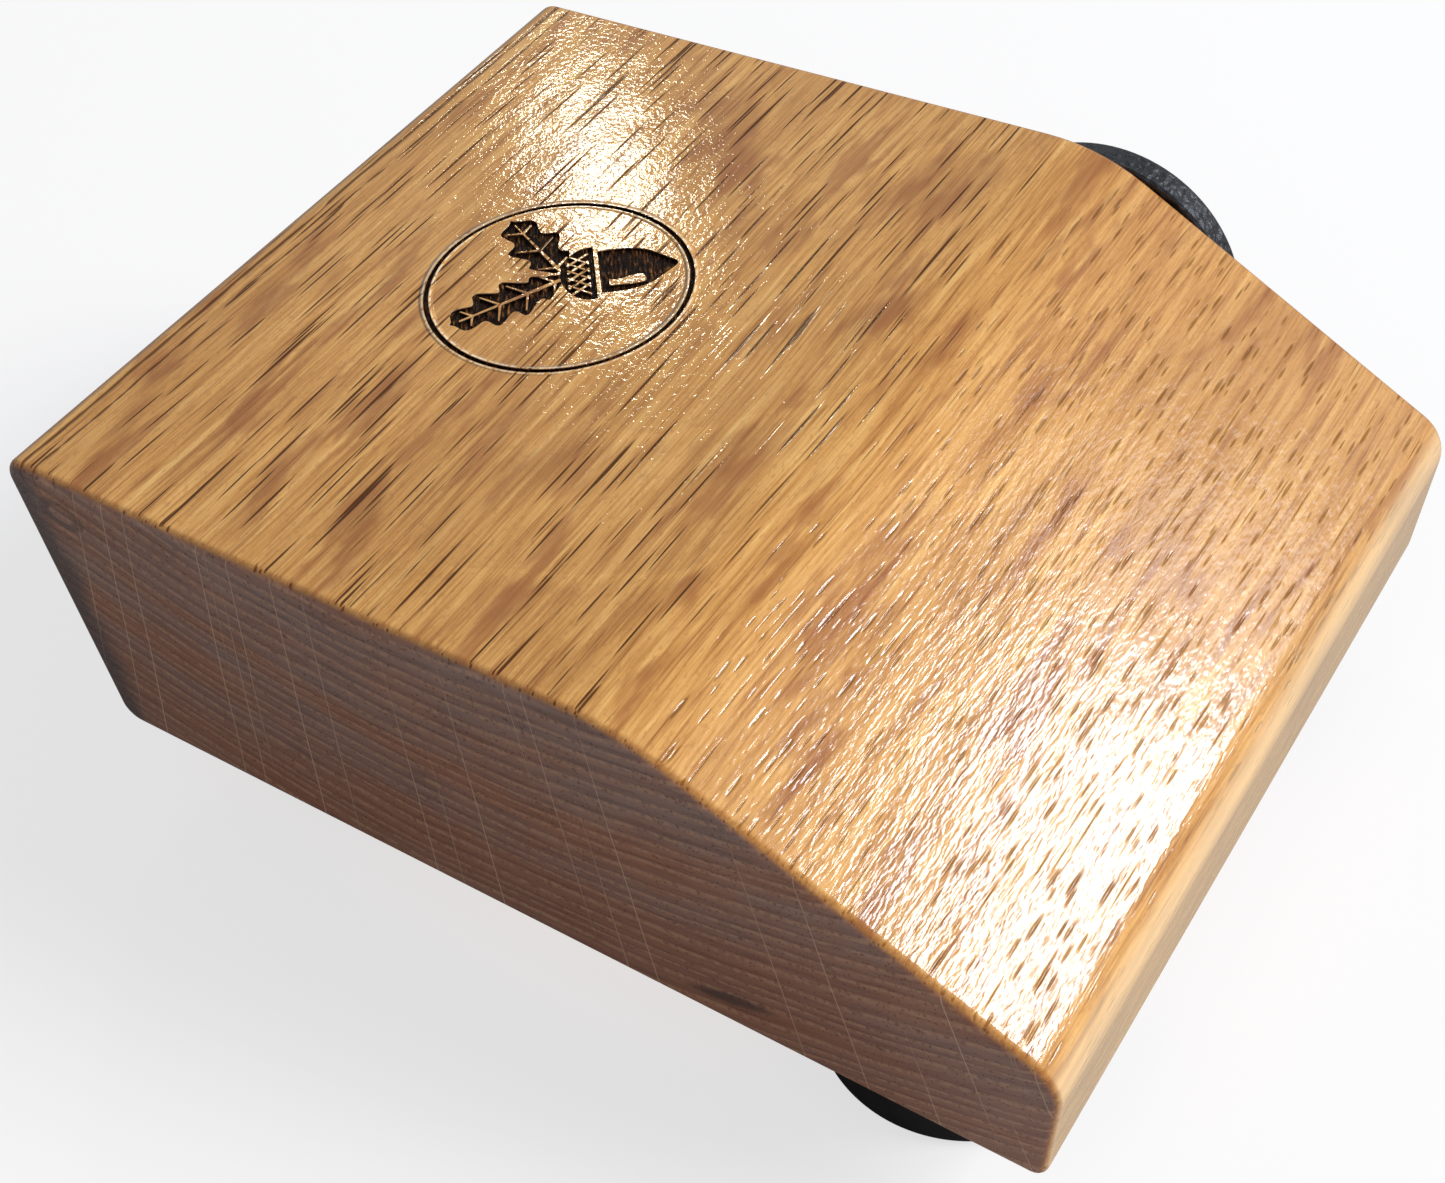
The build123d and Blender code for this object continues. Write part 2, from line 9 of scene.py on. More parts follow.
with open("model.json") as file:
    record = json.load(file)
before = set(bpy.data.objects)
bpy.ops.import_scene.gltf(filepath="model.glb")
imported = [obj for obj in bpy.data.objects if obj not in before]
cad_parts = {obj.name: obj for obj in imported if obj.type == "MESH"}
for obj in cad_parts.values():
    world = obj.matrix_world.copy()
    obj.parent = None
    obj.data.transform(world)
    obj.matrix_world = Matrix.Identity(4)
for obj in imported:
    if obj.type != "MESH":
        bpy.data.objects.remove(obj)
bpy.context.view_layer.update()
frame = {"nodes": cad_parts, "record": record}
nodes = frame["nodes"]
scene = bpy.context.scene


# ------------------------------------------------------------------ node-graph helper
class Graph:
    """A small writer for shader node trees. Sockets are passed about as values; numbers and tuples are constants."""

    def __init__(self, name):
        self.mat = bpy.data.materials.new(name)
        self.mat.use_nodes = True
        self.t = self.mat.node_tree
        self.t.nodes.clear()
        self.out = self.t.nodes.new("ShaderNodeOutputMaterial")

    def node(self, kind, **props):
        n = self.t.nodes.new(kind)
        for k, v in props.items():
            setattr(n, k, v)
        return n

    def put(self, socket, value):
        if value is None:
            return
        if isinstance(value, bpy.types.NodeSocket):
            self.t.links.new(value, socket)
        elif isinstance(value, (tuple, list)):
            value = tuple(value)
            if len(socket.default_value) == 4 and len(value) == 3:
                value = value + (1.0,)
            socket.default_value = value
        else:
            try:
                socket.default_value = value
            except TypeError:
                socket.default_value = [value] * len(socket.default_value)

    def m(self, op, a, b=None, c=None, clamp=False):
        n = self.node("ShaderNodeMath", operation=op, use_clamp=clamp)
        for s, v in zip(n.inputs, (a, b, c)):
            self.put(s, v)
        return n.outputs[0]

    def add(self, a, b):
        return self.m("ADD", a, b)

    def sub(self, a, b):
        return self.m("SUBTRACT", a, b)

    def mul(self, a, b):
        return self.m("MULTIPLY", a, b)

    def step(self, x, lo, hi):
        """Smooth step from 0 at lo to 1 at hi; lo may be above hi."""
        n = self.node("ShaderNodeMapRange", interpolation_type="SMOOTHSTEP", clamp=True)
        self.put(n.inputs["Value"], x)
        if isinstance(lo, (int, float)) and isinstance(hi, (int, float)) and lo > hi:
            self.put(n.inputs["From Min"], hi)
            self.put(n.inputs["From Max"], lo)
            n.inputs["To Min"].default_value, n.inputs["To Max"].default_value = 1.0, 0.0
        else:
            self.put(n.inputs["From Min"], lo)
            self.put(n.inputs["From Max"], hi)
        return n.outputs[0]

    def xyz(self, x, y, z):
        n = self.node("ShaderNodeCombineXYZ")
        for s, v in zip(n.inputs, (x, y, z)):
            self.put(s, v)
        return n.outputs[0]

    def split(self, v):
        n = self.node("ShaderNodeSeparateXYZ")
        self.put(n.inputs[0], v)
        return n.outputs

    def vscale(self, v, s):
        n = self.node("ShaderNodeVectorMath", operation="MULTIPLY")
        self.put(n.inputs[0], v)
        self.put(n.inputs[1], s if isinstance(s, (tuple, list)) else (s, s, s))
        return n.outputs[0]

    def vadd(self, a, b):
        n = self.node("ShaderNodeVectorMath", operation="ADD")
        self.put(n.inputs[0], a)
        self.put(n.inputs[1], b)
        return n.outputs[0]

    def noise(self, v, scale=1.0, detail=2.0, rough=0.5, distort=0.0, dims="3D", colour=False, w=None):
        n = self.node("ShaderNodeTexNoise", noise_dimensions=dims)
        if dims == "1D":
            self.put(n.inputs["W"], v)
        else:
            self.put(n.inputs["Vector"], v)
        if w is not None:
            self.put(n.inputs["W"], w)
        self.put(n.inputs["Scale"], scale)
        self.put(n.inputs["Detail"], detail)
        self.put(n.inputs["Roughness"], rough)
        self.put(n.inputs["Distortion"], distort)
        return n.outputs["Color" if colour else "Fac"]

    def voronoi(self, v, scale=1.0, feature="F1", random=1.0, out="Distance", dims="3D", smooth=None):
        n = self.node("ShaderNodeTexVoronoi", voronoi_dimensions=dims, feature=feature)
        self.put(n.inputs["W" if dims == "1D" else "Vector"], v)
        self.put(n.inputs["Scale"], scale)
        self.put(n.inputs["Randomness"], random)
        if smooth is not None:
            self.put(n.inputs["Smoothness"], smooth)
        return n.outputs[out]

    def ramp(self, fac, stops, kind="LINEAR"):
        n = self.node("ShaderNodeValToRGB")
        cr = n.color_ramp
        cr.interpolation = kind
        while len(cr.elements) < len(stops):
            cr.elements.new(0.5)
        for e, (p, c) in zip(cr.elements, stops):
            e.position = p
            e.color = tuple(c) + (1.0,) if len(c) == 3 else c
        self.put(n.inputs[0], fac)
        return n.outputs[0]

    def mix(self, fac, a, b, blend="MIX"):
        n = self.node("ShaderNodeMix", data_type="RGBA", blend_type=blend, clamp_factor=True)
        self.put(n.inputs[0], fac)
        self.put(n.inputs[6], a)
        self.put(n.inputs[7], b)
        return n.outputs[2]

    def bump(self, height_mm, strength=1.0, normal=None, per=0.001):
        """Bump from a height in millimetres."""
        n = self.node("ShaderNodeBump")
        n.inputs["Strength"].default_value = strength
        n.inputs["Distance"].default_value = per
        self.put(n.inputs["Height"], height_mm)
        if normal is not None:
            self.put(n.inputs["Normal"], normal)
        return n.outputs[0]

    def mm(self):
        """Object coordinates in millimetres: the row frame, whatever the pose."""
        tc = self.node("ShaderNodeTexCoord")
        return self.vscale(tc.outputs["Object"], 1000.0)

    def object_normal(self):
        tc = self.node("ShaderNodeTexCoord")
        return tc.outputs["Normal"]

    def principled(self, **inputs):
        n = self.node("ShaderNodeBsdfPrincipled")
        for k, v in inputs.items():
            self.put(n.inputs[k.replace("_", " ")], v)
        self.t.links.new(n.outputs[0], self.out.inputs["Surface"])
        return n


def srgb(r, g, b):
    """0-255 display colour to the linear values the nodes take."""

    def lin(c):
        c /= 255.0
        return c / 12.92 if c <= 0.04045 else ((c + 0.055) / 1.055) ** 2.4

    return (lin(r), lin(g), lin(b))


# ------------------------------------------------------------------ oak
RING_C = (-1.0, 27.8)  # centre of the engraved ring in the row frame, mm
PITH_Y, PITH_Z = 8.0, 208.0  # the tree's heart lies above the block


def oak():
    g = Graph("varnished_oak")
    p = g.mm()
    x, y, z = g.split(p)
    nx, ny, nz = g.split(g.object_normal())
    anx = g.m("ABSOLUTE", nx)
    end = g.step(anx, 0.62, 0.86)  # end grain
    eased = g.mul(g.step(anx, 0.10, 0.45), g.sub(1.0, g.step(anx, 0.80, 0.97)))  # rounded long edges

    # slow wander of the fibres, long along the grain
    slow = g.noise(g.vscale(p, (1 / 70.0, 1 / 26.0, 1 / 26.0)), detail=1.0, rough=0.45, colour=True)
    wander = g.split(slow)
    wy = g.mul(g.sub(wander[1], 0.5), 3.2)
    wz = g.mul(g.sub(wander[2], 0.5), 3.2)
    yy = g.add(y, wy)
    zz = g.add(z, wz)
    dy = g.sub(yy, PITH_Y)
    dz = g.sub(PITH_Z, zz)
    radius = g.m("SQRT", g.add(g.mul(dy, dy), g.mul(dz, dz)))
    radius = g.sub(radius, g.mul(x, 0.075))  # the log's taper: arches open towards +X
    angle_mm = g.mul(g.m("ARCTAN2", g.sub(g.add(y, g.mul(wy, 0.22)), PITH_Y), g.sub(PITH_Z, z)), 175.0)

    # growth rings of uneven width
    uneven = g.mul(g.sub(g.noise(g.mul(radius, 0.13), dims="1D", detail=1.0), 0.5), 1.5)
    ring = g.m("FRACT", g.add(g.mul(radius, 1 / 2.05), uneven))
    early = g.mul(g.step(ring, 0.0, 0.06), g.step(ring, 0.50, 0.26))  # porous band at the start of each ring
    late = g.step(ring, 0.40, 0.95)

    # fibres
    fibre = g.xyz(x, yy, zz)
    fine = g.noise(g.vscale(fibre, (1 / 11.0, 1 / 0.34, 1 / 0.34)), detail=2.0, rough=0.65)
    medium = g.noise(g.vscale(fibre, (1 / 30.0, 1 / 1.3, 1 / 1.3)), detail=2.0, rough=0.55)
    broad = g.noise(g.vscale(fibre, (1 / 60.0, 1 / 14.0, 1 / 14.0)), detail=2.0, rough=0.5)
    blotch = g.noise(g.vscale(g.xyz(x, yy, zz), (1 / 21.0, 1 / 5.6, 1 / 5.6)), detail=3.0, rough=0.62)

    # vessels: long thin ellipsoids along the grain, crowded in the early wood; the slope cuts them into short dashes
    slope = g.step(y, -12.0, -21.0)
    vessel_a = g.voronoi(g.vscale(fibre, (1 / 22.0, 1 / 0.66, 1 / 0.66)))
    vessel_b = g.voronoi(g.vadd(g.vscale(fibre, (1 / 46.0, 1 / 1.15, 1 / 1.15)), (7.3, 3.1, 9.7)))
    vessel_s = g.voronoi(g.vadd(g.vscale(fibre, (1 / 6.6, 1 / 0.74, 1 / 0.74)), (2.9, 11.7, 4.1)))
    ratio = g.m(
        "MINIMUM",
        g.add(g.m("DIVIDE", vessel_a, g.add(0.235, g.mul(early, 0.075))), g.mul(slope, 0.30)),
        g.add(g.m("DIVIDE", vessel_b, g.add(0.20, g.mul(early, 0.04))), g.mul(slope, 0.45)),
    )
    ratio = g.m("MINIMUM", ratio, g.add(g.m("DIVIDE", vessel_s, g.add(0.22, g.mul(early, 0.12))), g.mul(g.sub(1.0, slope), 4.0)))
    # two long open lines of vessels by the back edge
    wob = g.noise(g.mul(x, 1 / 16.0), dims="1D", detail=2.0)
    open_w = g.noise(g.mul(x, 1 / 7.0), dims="1D", detail=2.0)
    line1 = g.m("ABSOLUTE", g.sub(y, g.add(64.5, g.mul(wob, 1.0))))
    line2 = g.m("ABSOLUTE", g.sub(y, g.add(62.3, g.mul(wob, 1.3))))
    crack = g.m("MAXIMUM", g.step(line1, g.mul(g.step(open_w, 0.20, 0.55), 0.52), 0.0), g.step(line2, g.mul(g.step(open_w, 0.66, 0.40), 0.42), 0.0))
    crack = g.mul(crack, g.step(z, 52.5, 54.5))
    pore = g.m("MAXIMUM", g.step(ratio, 1.0, 0.62), crack)
    dip = g.m("MAXIMUM", g.step(ratio, 1.25, 0.1), crack)

    # rays: thin sheets running out from the pith
    ray_v = g.xyz(g.mul(angle_mm, 1 / 0.5), g.mul(x, 1 / 56.0), g.mul(radius, 1 / 240.0))
    ray = g.step(g.voronoi(ray_v), 0.19, 0.13)

    # colour
    base = g.ramp(
        g.add(g.mul(fine, 0.55), g.mul(medium, 0.45)),
        [(0.31, srgb(130, 77, 28)), (0.42, srgb(182, 127, 61)), (0.53, srgb(207, 153, 83)), (0.70, srgb(228, 183, 112))],
    )
    figure = g.mul(g.step(ring, 0.02, 0.16), g.step(ring, 0.62, 0.30))
    base = g.mix(g.mul(late, 0.14), base, srgb(156, 104, 50))
    base = g.mix(g.mul(g.mul(figure, g.step(blotch, 0.40, 0.60)), 0.46), base, srgb(138, 80, 30))
    base = g.mix(g.mul(g.step(broad, 0.44, 0.70), 0.28), base, srgb(162, 110, 50))
    base = g.mix(g.mul(g.step(blotch, 0.55, 0.65), 0.50), base, srgb(138, 74, 28))
    base = g.mix(g.mul(g.mul(slope, g.step(x, -5.0, 50.0)), 0.24), base, srgb(150, 98, 44))
    base = g.mix(g.mul(ray, 0.50), base, srgb(118, 72, 30))
    speck = g.noise(g.vscale(p, (1 / 0.9, 1 / 0.45, 1 / 0.45)), detail=1.0)
    base = g.mix(g.mul(g.step(speck, 0.56, 0.72), 0.30), base, srgb(150, 98, 44))
    base = g.mix(g.mul(pore, g.sub(0.93, g.mul(slope, 0.42))), base, srgb(72, 37, 10))
    # front-facing surfaces painted paler: painted light and sheen on the front face
    front_painted_light = g.mul(g.step(g.m("MULTIPLY", ny, -1.0), 0.60, 0.95), 0.62)
    base = g.mix(front_painted_light, base, g.mix(g.mul(fine, 0.55), srgb(250, 226, 186), srgb(206, 160, 104)))
    # end grain drinks the varnish: dull purplish brown, pale rays, fine lines along the rings
    line_n = g.noise(g.xyz(g.mul(angle_mm, 1 / 9.0), g.mul(radius, 1 / 0.80), g.mul(x, 1 / 30.0)), detail=2.0, rough=0.65)
    grey = g.noise(g.xyz(g.mul(angle_mm, 1 / 45.0), g.mul(radius, 1 / 7.5), 0.0), detail=2.0, rough=0.5)
    end_tone = g.ramp(g.add(g.mul(grey, 0.8), g.mul(blotch, 0.2)), [(0.38, srgb(192, 132, 102)), (0.60, srgb(176, 142, 130))])
    end_tone = g.mix(g.mul(g.step(line_n, 0.47, 0.64), 0.22), end_tone, srgb(206, 160, 134))
    end_tone = g.mix(g.mul(g.step(line_n, 0.50, 0.36), 0.26), end_tone, srgb(92, 60, 50))
    end_tone = g.mix(g.mul(g.step(z, 40.0, 18.0), 0.55), end_tone, g.mix(line_n, srgb(150, 92, 68), srgb(214, 146, 112)))
    dots = g.noise(g.xyz(g.mul(angle_mm, 1 / 0.9), g.mul(radius, 1 / 2.0), g.mul(x, 1 / 20.0)), detail=1.0)
    early_line = g.mul(g.step(ring, 0.0, 0.10), g.step(ring, 0.40, 0.20))
    end_tone = g.mix(g.mul(early_line, g.mul(g.step(dots, 0.30, 0.62), 0.62)), end_tone, srgb(222, 172, 138))
    end_tone = g.mix(g.mul(late, 0.26), end_tone, srgb(96, 62, 52))
    end_tone = g.mix(g.mul(pore, 0.30), end_tone, srgb(70, 48, 40))
    end_tone = g.mix(g.mul(ray, 0.85), end_tone, srgb(236, 200, 170))
    # painted dark reflection: a blue-grey band down the back edge of the left end
    painted_dark_reflection = g.mul(g.step(g.add(y, g.mul(g.sub(blotch, 0.5), 5.0)), 61.5, 66.0), g.step(x, 0.0, -1.0))
    end_tone = g.mix(g.mul(painted_dark_reflection, 0.74), end_tone, srgb(74, 76, 82))
    # a small knot by the back top corner and a dark mineral streak low down, both on the left end
    left = g.step(x, 0.0, -1.0)
    ky, kz = g.sub(y, 61.0), g.sub(z, 50.5)
    knot_r = g.m("SQRT", g.add(g.mul(g.mul(ky, ky), 0.42), g.mul(kz, kz)))
    knot = g.mul(g.step(knot_r, 4.6, 0.6), g.step(g.m("SINE", g.mul(g.add(knot_r, g.mul(blotch, 2.0)), 2.9)), -0.5, 0.8))
    end_tone = g.mix(g.mul(g.mul(knot, left), 0.6), end_tone, srgb(78, 64, 62))
    my = g.mul(g.add(y, 29.5), 1 / 6.0)
    mz = g.mul(g.sub(g.add(z, g.mul(y, 0.25)), g.add(8.6, g.mul(blotch, 0.9))), 1 / 1.2)
    streak = g.step(g.add(g.mul(my, my), g.mul(mz, mz)), 1.4, 0.1)
    end_tone = g.mix(g.mul(g.mul(streak, left), 0.72), end_tone, srgb(62, 52, 54))
    # the +X end grain is painted darker and yellower than the -X end: lit and shaded copies of one end grain, the lit
    # end darkened against its light while the shaded -X end stays paler
    lit_end_painted_darker = g.mix(1.0, end_tone, (0.50, 0.47, 0.37), blend="MULTIPLY")
    end_tone = g.mix(g.step(x, -2.0, 2.0), end_tone, lit_end_painted_darker)
    colour = g.mix(end, base, end_tone)
    colour = g.mix(g.mul(eased, 0.40), colour, srgb(166, 100, 46))

    # burnt engraving: everything below the face inside the ring
    ex, ey = g.sub(x, RING_C[0]), g.sub(y, RING_C[1])
    rr = g.m("SQRT", g.add(g.mul(ex, ex), g.mul(ey, ey)))
    inside = g.step(rr, 17.3, 17.0)
    char = g.mul(g.mul(inside, g.step(z, 55.97, 55.85)), g.step(z, 54.5, 55.0))
    turned = g.xyz(g.add(g.mul(x, 0.82), g.mul(y, 0.57)), g.sub(g.mul(y, 0.82), g.mul(x, 0.57)), z)
    soot = g.noise(g.vscale(turned, (1 / 1.7, 1 / 0.34, 1 / 0.5)), detail=3.0, rough=0.65)
    burnt = g.ramp(soot, [(0.36, srgb(10, 7, 6)), (0.52, srgb(30, 20, 15)), (0.60, srgb(74, 46, 26)), (0.72, srgb(146, 98, 56))])
    # painted highlight: a near-white glint along both sides of the ring groove, where the varnish lip catches the light
    painted_ring_glint = g.m("ABSOLUTE", g.sub(g.m("ABSOLUTE", g.sub(rr, 16.3)), 0.52))
    painted_ring_glint = g.mul(g.mul(g.step(painted_ring_glint, 0.22, 0.04), g.step(z, 55.80, 55.95)), g.step(speck, 0.36, 0.56))
    colour = g.mix(g.mul(painted_ring_glint, 0.62), colour, srgb(255, 240, 208))
    colour = g.mix(char, colour, burnt)

    # relief: orange peel of the varnish on the flat, grain telegraphing through on the slope, both sunk over the pores
    peel_a = g.noise(g.vscale(p, 1 / 0.80), detail=2.0, rough=0.65, distort=0.3)
    peel_b = g.noise(g.vscale(p, (1 / 6.0, 1 / 3.6, 1 / 3.6)), detail=0.0)
    peel_s = g.noise(g.vscale(fibre, (1 / 1.7, 1 / 0.55, 1 / 0.55)), detail=1.5, rough=0.6)
    h = g.add(g.mul(g.mix(slope, peel_a, peel_s), g.add(0.040, g.mul(slope, 0.022))), g.mul(peel_b, 0.06))
    h = g.sub(h, g.mul(dip, 0.055))
    h = g.add(h, g.mul(char, g.mul(soot, 0.26)))
    lip = g.m("ABSOLUTE", g.sub(rr, 16.3))
    h = g.add(h, g.mul(g.mul(g.step(lip, 0.95, 0.45), g.step(z, 55.80, 55.95)), 0.20))
    normal = g.bump(h, 1.0)
    g.principled(
        Base_Color=colour,
        Roughness=0.48,
        Specular_IOR_Level=g.sub(0.30, g.mul(g.m("MAXIMUM", char, pore), 0.27)),
        Coat_Weight=g.sub(1.0, g.m("MAXIMUM", g.mul(char, 0.92), g.mul(pore, g.sub(0.55, g.mul(slope, 0.35))))),
        Coat_Roughness=g.add(0.035, g.mul(slope, 0.085)),
        Coat_IOR=1.5,
        Normal=normal,
        Coat_Normal=normal,
    )
    return g.mat


# ------------------------------------------------------------------ other materials
def plywood():
    g = Graph("birch_plywood")
    p = g.mm()
    x, y, z = g.split(p)
    warp = g.noise(g.vscale(p, (1 / 40.0, 1 / 12.0, 1 / 12.0)), detail=2.0, colour=True)
    w = g.split(warp)
    yy = g.add(y, g.mul(g.sub(w[1], 0.5), 9.0))
    figure = g.noise(g.vscale(g.xyz(x, yy, z), (1 / 55.0, 1 / 3.4, 1.0)), detail=3.0, rough=0.6)
    fleck = g.noise(g.vscale(g.xyz(x, yy, z), (1 / 3.2, 1 / 0.22, 1 / 0.22)), detail=2.0, rough=0.6)
    c = g.ramp(g.add(g.mul(figure, 0.7), g.mul(fleck, 0.3)), [(0.32, srgb(176, 141, 98)), (0.5, srgb(206, 174, 128)), (0.7, srgb(224, 197, 154))])
    side = g.step(g.m("ABSOLUTE", g.split(g.object_normal())[2]), 0.7, 0.4)
    ply = g.m("FRACT", g.mul(g.sub(z, 11.0), 1.0))
    c = g.mix(g.mul(side, g.step(ply, 0.55, 0.6)), c, srgb(120, 82, 50))
    c = g.mix(g.mul(g.step(fleck, 0.60, 0.72), 0.35), c, srgb(150, 108, 66))
    g.principled(Base_Color=c, Roughness=g.add(0.42, g.mul(fleck, 0.15)), Normal=g.bump(g.mul(fleck, 0.05), 0.6))
    return g.mat


def rubber():
    g = Graph("black_rubber")
    p = g.mm()
    dust = g.noise(g.vscale(p, 1 / 6.0), detail=5.0, rough=0.65)
    pit = g.noise(g.vscale(p, 1 / 0.35), detail=3.0, rough=0.6)
    c = g.ramp(g.add(g.mul(dust, 0.7), g.mul(pit, 0.3)), [(0.35, srgb(20, 21, 22)), (0.62, srgb(34, 36, 38)), (0.78, srgb(58, 59, 60))])
    g.principled(Base_Color=c, Roughness=g.add(0.62, g.mul(dust, 0.2)), Specular_IOR_Level=0.35, Normal=g.bump(g.mul(pit, 0.05), 0.7))
    return g.mat


def abs_grain():
    g = Graph("black_abs")
    p = g.mm()
    cell = g.voronoi(g.vadd(g.vscale(p, 1 / 0.95), g.vscale(g.noise(g.vscale(p, 1 / 1.2), detail=2.0, colour=True), 0.9)), feature="SMOOTH_F1", smooth=0.5)
    fine = g.noise(g.vscale(p, 1 / 0.28), detail=3.0, rough=0.6)
    scuff = g.noise(g.vscale(p, 1 / 7.0), detail=4.0, rough=0.6)
    c = g.ramp(g.add(g.mul(scuff, 0.6), g.mul(fine, 0.4)), [(0.35, srgb(22, 24, 28)), (0.6, srgb(33, 36, 41)), (0.8, srgb(56, 59, 65))])
    h = g.add(g.mul(cell, 0.34), g.mul(fine, 0.05))
    g.principled(Base_Color=c, Roughness=g.add(0.34, g.mul(fine, 0.18)), Specular_IOR_Level=0.55, Normal=g.bump(h, 1.0))
    return g.mat


def metal(name, light, dark, rough, spot=0.25, bump=0.01, axis=None):
    """Plated or rolled metal: uneven plating, fine drawing marks, small pits."""
    g = Graph(name)
    p = g.mm()
    cloud = g.noise(g.vscale(p, 1 / 2.2), detail=4.0, rough=0.6)
    marks = g.noise(g.vscale(p, axis or (1 / 0.12, 1 / 0.9, 1 / 0.9)), detail=3.0, rough=0.6)
    pits = g.step(g.voronoi(g.vscale(p, 1 / 0.9)), 0.16, 0.08)
    c = g.ramp(cloud, [(0.30, dark), (0.70, light)])
    c = g.mix(g.mul(pits, spot), c, tuple(v * 0.35 for v in dark))
    r = g.add(g.add(rough, g.mul(g.sub(cloud, 0.5), 0.16)), g.mul(marks, 0.10))
    g.principled(Base_Color=c, Metallic=1.0, Roughness=r, Normal=g.bump(g.sub(g.mul(marks, bump), g.mul(pits, 0.02)), 0.8))
    return g.mat


def plastic(name, light, dark, rough=0.4, scale=1.0, bump=0.02):
    g = Graph(name)
    p = g.mm()
    n = g.noise(g.vscale(p, 1 / (1.6 * scale)), detail=4.0, rough=0.6)
    f = g.noise(g.vscale(p, 1 / (0.25 * scale)), detail=2.0)
    g.principled(Base_Color=g.ramp(n, [(0.35, dark), (0.68, light)]), Roughness=g.add(rough, g.mul(f, 0.12)), Normal=g.bump(g.mul(f, bump), 0.8))
    return g.mat


def foam():
    g = Graph("grey_foam")
    p = g.mm()
    cell = g.voronoi(g.vscale(p, 1 / 0.7))
    n = g.noise(g.vscale(p, 1 / 4.0), detail=3.0)
    # dark spots at the cell centres: painted shade inside the open cells
    c = g.mix(g.step(cell, 0.1, 0.5), srgb(26, 26, 28), g.ramp(n, [(0.3, srgb(62, 62, 65)), (0.7, srgb(84, 84, 88))]))
    g.principled(Base_Color=c, Roughness=0.95, Specular_IOR_Level=0.1, Normal=g.bump(g.mul(cell, 0.5), 1.0))
    return g.mat


finish = {
    "varnished_oak": oak(),
    "birch_plywood": plywood(),
    "black_rubber": rubber(),
    "black_abs": abs_grain(),
    "zinc_steel": metal("zinc_steel", (0.66, 0.65, 0.61), (0.50, 0.50, 0.49), 0.26),
    "nickel_plate": metal("nickel_plate", (0.74, 0.71, 0.66), (0.60, 0.57, 0.53), 0.16, spot=0.1),
    "spring_brass": metal("spring_brass", (0.83, 0.64, 0.31), (0.62, 0.44, 0.19), 0.24, axis=(1 / 1.8, 1 / 0.10, 1 / 0.10)),
    "fibre_wafer": plastic("fibre_wafer", srgb(150, 84, 52), srgb(112, 56, 34), 0.6, bump=0.05),
    "piezo_ceramic": metal("piezo_ceramic", (0.80, 0.79, 0.76), (0.64, 0.63, 0.60), 0.42, spot=0.15),
    "clear_epoxy": plastic("clear_epoxy", srgb(214, 196, 140), srgb(184, 160, 104), 0.18),
    "grey_foam": foam(),
    "red_insulation": plastic("red_insulation", srgb(186, 34, 26), srgb(140, 20, 16), 0.35),
    "black_insulation": plastic("black_insulation", srgb(40, 40, 42), srgb(20, 20, 22), 0.35),
    "solder": metal("solder", (0.76, 0.76, 0.77), (0.55, 0.55, 0.57), 0.22, spot=0.4),
}
for entry in frame["record"]["subparts"]:
    ob = nodes[entry["node"]]
    ob.data.materials.clear()
    ob.data.materials.append(finish[entry["material_slot"]])

# ------------------------------------------------------------------ stage: pale floor, soft light
floor_mesh = bpy.data.meshes.new("floor")
s = 6.0
floor_mesh.from_pydata([(-s, -s, -0.0002), (s, -s, -0.0002), (s, s, -0.0002), (-s, s, -0.0002)], [], [(0, 1, 2, 3)])
floor = bpy.data.objects.new("floor", floor_mesh)
scene.collection.objects.link(floor)
g = Graph("floor_paper")
lp = g.node("ShaderNodeLightPath")
geo = g.node("ShaderNodeNewGeometry")
fibre = g.noise(g.mm(), scale=0.02, detail=4.0)
seen_d = g.node("ShaderNodeBsdfDiffuse")
g.put(seen_d.inputs[0], g.mix(g.mul(fibre, 0.2), (0.93, 0.93, 0.93), (0.90, 0.90, 0.90)))
seen_e = g.node("ShaderNodeEmission")
g.put(seen_e.inputs[0], (0.95, 0.95, 0.96))
seen = g.node("ShaderNodeMixShader")
g.put(seen.inputs[0], 0.72)
g.t.links.new(seen_d.outputs[0], seen.inputs[1])
g.t.links.new(seen_e.outputs[0], seen.inputs[2])
unseen = g.node("ShaderNodeBsdfDiffuse")
g.put(unseen.inputs[0], (0.26, 0.24, 0.23))
pick = g.node("ShaderNodeMixShader")
g.put(pick.inputs[0], lp.outputs["Is Camera Ray"])
g.t.links.new(unseen.outputs[0], pick.inputs[1])
g.t.links.new(seen.outputs[0], pick.inputs[2])
clear = g.node("ShaderNodeBsdfTransparent")
under = g.node("ShaderNodeMixShader")
g.put(under.inputs[0], g.m("MAXIMUM", geo.outputs["Backfacing"], lp.outputs["Is Shadow Ray"]))
g.t.links.new(pick.outputs[0], under.inputs[1])
g.t.links.new(clear.outputs[0], under.inputs[2])
g.t.links.new(under.outputs[0], g.out.inputs["Surface"])
floor_mesh.materials.append(g.mat)

world = bpy.data.worlds.new("studio")
scene.world = world
world.use_nodes = True
wt = world.node_tree
wt.nodes.clear()
wo = wt.nodes.new("ShaderNodeOutputWorld")
bg = wt.nodes.new("ShaderNodeBackground")
bg.inputs[0].default_value = (0.94, 0.965, 1.0, 1.0)
bg.inputs[1].default_value = 0.34
back = wt.nodes.new("ShaderNodeBackground")  # what the camera itself sees behind the object
back.inputs[0].default_value = (0.90, 0.90, 0.91, 1.0)
back.inputs[1].default_value = 1.0
eye = wt.nodes.new("ShaderNodeLightPath")
mix_world = wt.nodes.new("ShaderNodeMixShader")
wt.links.new(eye.outputs["Is Camera Ray"], mix_world.inputs[0])
wt.links.new(bg.outputs[0], mix_world.inputs[1])
wt.links.new(back.outputs[0], mix_world.inputs[2])
wt.links.new(mix_world.outputs[0], wo.inputs[0])


